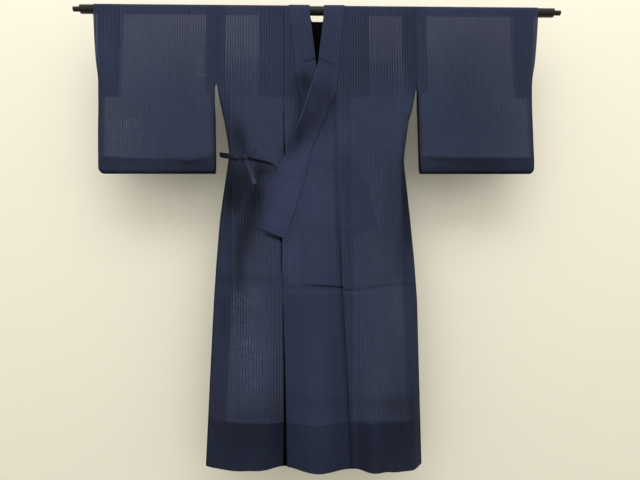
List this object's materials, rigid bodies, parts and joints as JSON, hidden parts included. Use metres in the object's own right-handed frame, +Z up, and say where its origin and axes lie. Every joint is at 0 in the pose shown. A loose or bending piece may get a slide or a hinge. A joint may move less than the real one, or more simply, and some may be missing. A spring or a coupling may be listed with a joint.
{
  "type": "kimono coat on rod",
  "caption": "Sheer navy summer kimono coat hung flat through its sleeves on a plain black rod, crossed at the front and tied with a small bow at the waist.",
  "frame": {"origin": "on the rod's axis, at the middle of its length, where the rod holds the coat up", "axes": "+X along the rod to the viewer's right, -Y out of the coat's front, +Z up"},
  "size_m": [1.475, 0.1082, 1.3469],
  "materials": {
    "navy_gauze": "sheer silk gauze, navy, with fine lengthwise stripes of open weave",
    "navy_collar": "the same gauze folded several layers thick",
    "navy_tie": "narrow folded straps of the same cloth",
    "black_lacquer": "black lacquer, glossy"
  },
  "bodies": {
    "root": {"rod": "black_lacquer", "body_panel_left": "navy_gauze", "body_panel_right": "navy_gauze", "overlap_panel_under": "navy_gauze", "overlap_panel_top": "navy_gauze", "collar": "navy_collar", "sleeve_left": "navy_gauze", "sleeve_right": "navy_gauze", "tie_strap_front": "navy_tie", "tie_strap_side": "navy_tie", "bow_loop": "navy_tie", "tie_tail_long": "navy_tie", "tie_tail_short": "navy_tie", "bow_knot": "navy_tie"}
  },
  "joints": []
}
